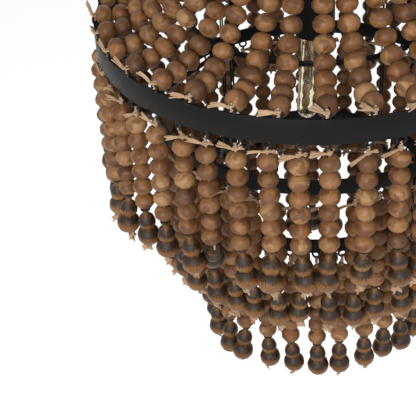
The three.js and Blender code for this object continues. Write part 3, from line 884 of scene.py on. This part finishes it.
set_ramp(scorch, [
    (0.0, (0.9, 0.9, 0.9, 1)), (0.035, (0.85, 0.85, 0.85, 1)), (0.06, (0.3, 0.3, 0.3, 1)),
    (0.16, (0.3, 0.3, 0.3, 1)), (0.22, (0.9, 0.9, 0.9, 1)),
    (0.34, (0.95, 0.95, 0.95, 1)), (0.39, (0.12, 0.12, 0.12, 1)),
    (0.5, (0.1, 0.1, 0.1, 1)), (0.55, (0.95, 0.95, 0.95, 1)), (0.68, (0.9, 0.9, 0.9, 1)),
    (0.73, (0.12, 0.12, 0.12, 1)), (0.88, (0.05, 0.05, 0.05, 1)), (1.0, (0.5, 0.5, 0.5, 1)),
])
wax_ramp = add_node(tree, "ShaderNodeValToRGB", {"Fac": tone.outputs["Fac"]})
set_ramp(wax_ramp, [
    (0.0, tint(122, 77, 33)), (0.5, tint(152, 101, 48)), (1.0, tint(174, 126, 70)),
])
wax_and_painted_sheen = blended(
    tree, mask(tree, streaks.outputs["Fac"], 0.45, 0.72, 0.75),
    wax_ramp.outputs["Color"], tint(84, 50, 28))
# painted sheen: the lower end of the big lobe is mixed towards a pale grey-brown, as a
# painted reflection
wax_and_painted_sheen = blended(
    tree, mask(tree, level.outputs[0], 0.8, 0.98, 0.6), wax_and_painted_sheen, tint(118, 92, 66))
charred = blended(
    tree, mask(tree, figure.outputs["Mottle"], 0.4, 0.75, 0.7), tint(20, 18, 19),
    tint(42, 37, 36))
charred = blended(
    tree, mask(tree, streaks.outputs["Fac"], 0.5, 0.68, 0.4), charred, tint(88, 64, 42))
burnt = blended(tree, scorch.outputs["Color"], wax_and_painted_sheen, charred)
satin = add_node(tree, "ShaderNodeMapRange", {
    "Value": scorch.outputs["Color"], "To Min": 0.4, "To Max": 0.5,
})
relief = add_node(tree, "ShaderNodeBump", {
    "Strength": 0.45, "Distance": 0.0005, "Height": streaks.outputs["Fac"],
})
tree.links.new(burnt, shader.inputs["Base Color"])
tree.links.new(satin.outputs[0], shader.inputs["Roughness"])
tree.links.new(relief.outputs["Normal"], shader.inputs["Normal"])
shader.inputs["Specular IOR Level"].default_value = 0.32

gourd_length = 49.8
gourd_model = turned_piece("gourd_model", [
    (1.8, -49.6), (5.0, -49.8), (10.3, -46.8), (13.1, -41.8), (13.5, -36.8),
    (11.9, -31.4), (7.6, -27.4), (9.6, -23.4), (10.2, -17.8), (8.2, -11.8), (3.8, -8.4),
    (3.2, -4.0), (5.9, -2.4), (5.9, 0), (1.8, 0), (1.8, -49.6),
], 12, 60)
keep_grain(gourd_model)
heights = np.array([vertex.co.z for vertex in gourd_model.data.vertices], np.float32)
layer = gourd_model.data.attributes.new("along", "FLOAT", "POINT")
layer.data.foreach_set("value", np.clip(-heights / (gourd_length * mm), 0, 1))

end_bead_drop = gourd_length + 3.6
strung_beads = 6
# tier, strands, sectors, azimuth of the first, radius, height of the band's edge, seed of
# its chances, length of the tie
tiers = (
    ("main", 48, 8, 4.6, main_eye_radius, main_edge, 31, 14.5),
    ("middle", 42, 7, 4.7, middle_eye_radius, middle_edge, 37, 16),
    ("lower", 30, 6, 1.2, lower_eye_radius, lower_edge, 41, 21.5),
)
# strands of the front whose hang differs: sideways shift, lean to the side, lean outward,
# length of the tie and spacing of the beads
front_strands = {
    0: (-4.8, 0.5, 0, 11.5, 1.01), 47: (-2, 0.7, 0, 14.5, 1.01),
    46: (0, 1.3, 0, 12.3, 1.03), 45: (0.5, 0.6, 0, 14.5, 1.045),
    44: (0, 0, 0, 16, 1.06), 43: (4.2, -0.7, 0, 16.5, 1.03),
    42: (0, 0, 0, 15, 1.035), 41: (0, 0, 1.0, 16.5, 1.01),
    40: (0, 0, 1.9, 16.5, 1.0), 39: (0, 0, 2.2, 16, 1.0),
}
# the one end bead that has turned on its twine and shows its upper end
turned_end = ("main", 44)
strand_hangs = {}
strand_ends = {}
for tier, count, sectors, first_azimuth, radius, edge, seed, tie in tiers:
    rng = np.random.default_rng(seed)
    azimuths = strand_azimuths(first_azimuth, count)
    for sector in range(sectors):
        beads = []
        gourds = []
        for k in sector_strands(sector, count, sectors):
            side = rng.uniform(-0.8, 0.8)
            lean_side = rng.uniform(-0.9, 0.9)
            lean_out = rng.uniform(-0.5, 0.9)
            reach = tie + rng.uniform(-1.5, 1.5)
            share = rng.uniform(1.0, 1.03)
            if tier == "main" and k in front_strands:
                side, lean_side, lean_out, reach, share = front_strands[k]
            hang = (
                around(azimuths[k], radius, edge - reach)
                @ Matrix.Translation((side * mm, 0, 0))
                @ Matrix.Rotation(math.radians(-lean_side), 4, "Y")
                @ Matrix.Rotation(math.radians(-lean_out), 4, "X")
            )
            strand_hangs[tier, k] = hang
            step = bead_pitch * share
            for i in range(strung_beads):
                off = rng.uniform(-0.5, 0.5, size=2)
                spot = hang @ Matrix.Translation(
                    (off[0] * mm, off[1] * mm, -(i + 0.5) * step * mm))
                beads.append(place_bead(bead_model, spot, rng, "strung_bead"))
            tip = np.clip(rng.normal(0, 3.5, size=2), -5, 5)
            tip = (
                Matrix.Rotation(math.radians(tip[0]), 4, "X")
                @ Matrix.Rotation(math.radians(tip[1]), 4, "Y")
            )
            if (tier, k) == turned_end:
                tip = (
                    Matrix.Translation((2.5 * mm, 0, -7 * mm))
                    @ Matrix.Rotation(math.radians(32), 4, "Z")
                    @ Matrix.Rotation(math.radians(37), 4, "X")
                )
            spot = hang @ Matrix.Translation((0, 0, -strung_beads * step * mm)) @ tip
            gourds.append(place_bead(gourd_model, spot, rng, "gourd", False, 0.985))
            strand_ends[tier, k] = spot @ Matrix.Translation((0, 0, -end_bead_drop * mm))
        body = f"{tier}_fringe_{sector + 1}"
        beads = join_pieces(beads, f"{tier}_beads_{sector + 1}")
        finish_piece(beads, bead_wood, body, "bead_wood", f"{tier}_strands_{sector + 1}")
        gourds = join_pieces(gourds, f"{tier}_gourds_{sector + 1}")
        finish_piece(gourds, burnt_wood, body, "burnt_wood")
bpy.data.objects.remove(bead_model)
bpy.data.objects.remove(gourd_model)

# Jute twine: two plies laid together. It runs from an eyelet through all the beads, is
# knotted above the first, and its cut end stands off to one side and frays.
jute, tree, shader = new_material("jute_twine")
place = add_node(tree, "ShaderNodeTexCoord").outputs["Object"]
fuzz = add_node(tree, "ShaderNodeTexNoise", {
    "Vector": place, "Scale": 900.0, "Detail": 4.0, "Roughness": 0.7,
})
cloud = add_node(tree, "ShaderNodeTexNoise", {
    "Vector": place, "Scale": 45.0, "Detail": 2.0,
})
straw = add_node(tree, "ShaderNodeValToRGB", {"Fac": cloud.outputs["Fac"]})
set_ramp(straw, [(0.3, tint(198, 157, 118)), (0.7, tint(224, 188, 150))])
fuzzy = blended(
    tree, mask(tree, fuzz.outputs["Fac"], 0.45, 0.8, 0.6), straw.outputs["Color"],
    tint(148, 110, 78))
relief = add_node(tree, "ShaderNodeBump", {
    "Strength": 0.6, "Distance": 0.0004, "Height": fuzz.outputs["Fac"],
})
tree.links.new(fuzzy, shader.inputs["Base Color"])
tree.links.new(relief.outputs["Normal"], shader.inputs["Normal"])
shader.inputs["Roughness"].default_value = 0.9
shader.inputs["Sheen Weight"].default_value = 0.3


def two_plies(points, offset, pitch):
    # two lines that wind round the line of points
    lines = ([], [])
    run = 0.0
    for i, point in enumerate(points):
        here = Vector(point)
        ahead = Vector(points[min(i + 1, len(points) - 1)]) - Vector(points[max(i - 1, 0)])
        ahead.normalize()
        # any direction that no line of twine follows serves to start from
        across = ahead.cross(Vector((0.31, 0.92, 0.23))).normalized()
        over = ahead.cross(across)
        if i:
            run += (here - Vector(points[i - 1])).length
        turn = 2 * math.pi * run / pitch
        for line, side in zip(lines, (1, -1)):
            line.append(
                here + side * offset * (math.cos(turn) * across + math.sin(turn) * over))
    return list(lines)


# the tie hangs from the origin and is one unit of ten millimetres long
tie_model = wire_piece("tie_model", two_plies(
    [(0.4 * math.sin(i * 0.9), 0.3 * math.cos(i), -i * 1.25) for i in range(9)], 0.95, 8,
), 2.3, 0)

knot_parts = [
    torus_piece("knot", 2.3, 2.6, 8, 4, (0, 0, 0.8), (0.3, 0.12, 0)),
    torus_piece("knot", 2.0, 2.6, 8, 4, (0.3, -0.2, -1.0), (-0.35, -0.3, 0.5)),
]
knot_model = join_pieces(knot_parts, "knot_model")


def frayed_tail(name, rng, length, spread, droop):
    # from the knot towards -X: two plies laid together that open into a flat brush
    bend = []
    for t in (0, 0.1, 0.2, 0.3, 0.4):
        bend.append((-length * t, -1.5 * t, droop * length * t * t))
    tail = wire_piece(name, two_plies(bend, 0.75, 9), 2.1, 0)
    fibres = []
    fibre_count = 8
    for i in range(fibre_count):
        level = 2 * i / (fibre_count - 1) - 1
        depth = rng.uniform(-0.7, 0.7)
        end = rng.uniform(0.84, 1.08)
        bow = rng.uniform(-0.5, 0.5)
        fibre = []
        for t in (0.22, 0.42, 0.62, 0.82, 1.0):
            width = 0.8 + spread * max(t - 0.25, 0) ** 0.8
            along = t * end
            fibre.append((
                -length * along, -1.5 * t + depth * (0.5 + t),
                droop * length * along * along + level * width * 0.5
                + bow * math.sin(math.pi * t)))
        fibres.append(fibre)
    brush = wire_piece("brush", fibres, 1.7, 0, lambda t: 1.15 - 0.4 * t)
    return join_pieces([tail, brush], name)


rng = np.random.default_rng(53)
tail_models = [
    frayed_tail("tail_1", rng, 20, 5.2, -0.15),
    frayed_tail("tail_2", rng, 18, 6.4, 0.02),
    frayed_tail("tail_3", rng, 21, 5.0, -0.25),
    frayed_tail("tail_4", rng, 17, 7.2, 0.08),
    frayed_tail("tail_5", rng, 19, 4.2, -0.08),
]
stub_model = frayed_tail("stub", rng, 7, 4.0, -0.1)


def spanned(model, name, start, end):
    # a copy of the tie drawn out from one place to the other
    way = end - start
    facing = way.to_track_quat("-Z", "Y").to_matrix().to_4x4()
    longer = Matrix.Diagonal((1, 1, way.length / (10 * mm), 1))
    return copy_piece(model, name, Matrix.Translation(start) @ facing @ longer)


for tier, count, sectors, first_azimuth, radius, edge, seed, tie in tiers:
    rng = np.random.default_rng(seed + 100)
    azimuths = strand_azimuths(first_azimuth, count)
    for sector in range(sectors):
        twine = []
        cores = []
        for k in sector_strands(sector, count, sectors):
            hang = strand_hangs[tier, k]
            start = around(azimuths[k], radius, edge) @ Vector((0, 0, -5.6 * mm))
            knot = hang @ Matrix.Translation((0, 0, 2.6 * mm))
            twine.append(spanned(tie_model, "tie", start, knot.translation))
            twine.append(copy_piece(
                knot_model, "knot", knot @ Matrix.Rotation(rng.uniform(0, 6.28), 4, "Z")))
            aim = (
                Matrix.Rotation(math.radians(rng.uniform(-12, 12)), 4, "Z")
                @ Matrix.Rotation(math.radians(rng.uniform(-26, 20)), 4, "Y")
                @ Matrix.Rotation(rng.uniform(-0.6, 0.6), 4, "X")
            )
            model = tail_models[int(rng.integers(len(tail_models)))]
            reach = Matrix.Translation((-1.0 * mm, -2.0 * mm, 0))
            twine.append(copy_piece(model, "tail", knot @ reach @ aim))
            back = (
                Matrix.Translation((1.6 * mm, -1.2 * mm, 0.5 * mm))
                @ Matrix.Rotation(math.pi + rng.uniform(-0.5, 0.5), 4, "Z")
                @ Matrix.Rotation(math.radians(rng.uniform(-10, 50)), 4, "Y")
            )
            if rng.uniform() < 0.4:
                twine.append(copy_piece(stub_model, "stub", knot @ back))
            end = strand_ends[tier, k]
            spin = (
                Matrix.Rotation(rng.uniform(0, 6.28), 4, "Z")
                @ Matrix.Rotation(rng.uniform(0.1, 0.7), 4, "X")
            )
            # a large end knot has two frayed ends, a small one has one, and the end bead
            # that turned on its twine hides them
            small = tier == "lower" or (tier, k) == turned_end
            knot_size = (0.6, 0.6, 1.1, 1) if small else (1.7, 1.5, 1.5, 1)
            twine.append(copy_piece(
                knot_model, "end_knot", end @ spin @ Matrix.Diagonal(knot_size)))
            tufts = 1 if small else 2
            if (tier, k) == turned_end:
                tufts = 0
            tuft_size = (0.7, 0.7, 0.8, 1) if small else (1.05, 1.4, 1.3, 1)
            way = rng.uniform(0, 6.28)
            for i in range(tufts):
                fall = (
                    Matrix.Rotation(way + 2.6 * i, 4, "Z")
                    @ Matrix.Rotation(math.radians(rng.uniform(-65, -5)), 4, "Y")
                )
                twine.append(copy_piece(
                    stub_model, "end_stub", end @ fall @ Matrix.Diagonal(tuft_size)))
            gourd_top = end @ Vector((0, 0, end_bead_drop * mm))
            cores.append([
                place / mm for place in (knot.translation, gourd_top, end.translation)])
        twine.append(wire_piece("core", cores, 3.0, 0))
        twine = join_pieces(twine, f"{tier}_twine_{sector + 1}")
        finish_piece(twine, jute, f"{tier}_fringe_{sector + 1}", "bead_wood")

rim_twine = [wire_piece("drape_cores", drape_cores, 3.0, 0)]
rng = np.random.default_rng(71)
for azimuth in drape_azimuths:
    eye = around(azimuth, main_eye_radius, ring_middle + 15.2).translation
    knot = around(azimuth, 247.6, ring_middle + 21.2)
    rim_twine.append(spanned(tie_model, "rim_tie", eye, knot.translation))
    rim_twine.append(copy_piece(
        knot_model, "rim_knot", knot @ Matrix.Rotation(rng.uniform(0, 6.28), 4, "Z")))
    aim = (
        Matrix.Translation((-1 * mm, -3.0 * mm, 0))
        @ Matrix.Rotation(math.radians(rng.uniform(-4, 12)), 4, "Z")
        @ Matrix.Rotation(math.radians(rng.uniform(-10, 46)), 4, "Y")
        @ Matrix.Diagonal((0.95, 1.25, 1.3, 1))
    )
    model = tail_models[int(rng.integers(len(tail_models)))]
    rim_twine.append(copy_piece(model, "rim_tail", knot @ aim))
    top = around(azimuth, crown_eye_radius, -208)
    rim_twine.append(copy_piece(knot_model, "crown_knot", top))
rim_twine = join_pieces(rim_twine, "rim_twine")
finish_piece(rim_twine, jute, "fixture", "bead_wood")
for model in (tie_model, knot_model, stub_model, *tail_models):
    bpy.data.objects.remove(model)

# Studio: a pale floor below, one strong soft light in front and two weak ones at the side
# and behind, in a white room.


def rays_that_show(tree):
    # 1 for what the camera, a reflection or clear glass shows, and 0 for light on a piece
    rays = add_node(tree, "ShaderNodeLightPath")
    seen = rays.outputs["Is Camera Ray"]
    for ray in ("Is Glossy Ray", "Is Transmission Ray"):
        seen = add_node(tree, "ShaderNodeMath", {
            0: seen, 1: rays.outputs[ray],
        }, operation="MAXIMUM").outputs[0]
    return seen


bpy.ops.object.select_all(action="DESELECT")
bpy.ops.mesh.primitive_plane_add(size=24, location=(0, 0, -1.35))
floor = bpy.context.object
floor.name = "floor"
floor_paint, tree, shader = new_material("floor_paint")
shader.inputs["Base Color"].default_value = (0.82, 0.82, 0.82, 1)
shader.inputs["Roughness"].default_value = 0.9
lift = add_node(tree, "ShaderNodeMath", {
    0: rays_that_show(tree), 1: 0.8,
}, operation="MULTIPLY")
shader.inputs["Emission Color"].default_value = (1, 1, 1, 1)
tree.links.new(lift.outputs[0], shader.inputs["Emission Strength"])
floor.data.materials.append(floor_paint)


light_target = Vector((0, 0, -0.45))


def soft_light(name, place, size, power):
    data = bpy.data.lights.new(name, "AREA")
    data.shape = "SQUARE"
    data.size = size
    data.energy = power
    lamp = bpy.data.objects.new(name, data)
    aim = light_target - Vector(place)
    lamp.matrix_world = (
        Matrix.Translation(place) @ aim.to_track_quat("-Z", "Y").to_matrix().to_4x4())
    bpy.context.scene.collection.objects.link(lamp)


soft_light("key_light", (-0.5, -2.4, 0.4), 1.1, 46)
soft_light("side_light", (2.2, -1.2, 0.5), 1.6, 6)
soft_light("back_light", (0.4, 2.0, 1.4), 1.6, 6)

world = bpy.data.worlds.new("white_room")
bpy.context.scene.world = world
world.use_nodes = True
tree = world.node_tree
backdrop = tree.nodes["Background"]
backdrop.inputs["Color"].default_value = (1, 1, 1, 1)
strength = add_node(tree, "ShaderNodeMapRange", {
    "Value": rays_that_show(tree), "To Min": 0.07, "To Max": 1.0,
})
tree.links.new(strength.outputs[0], backdrop.inputs["Strength"])
bpy.context.scene.view_settings.view_transform = "Standard"
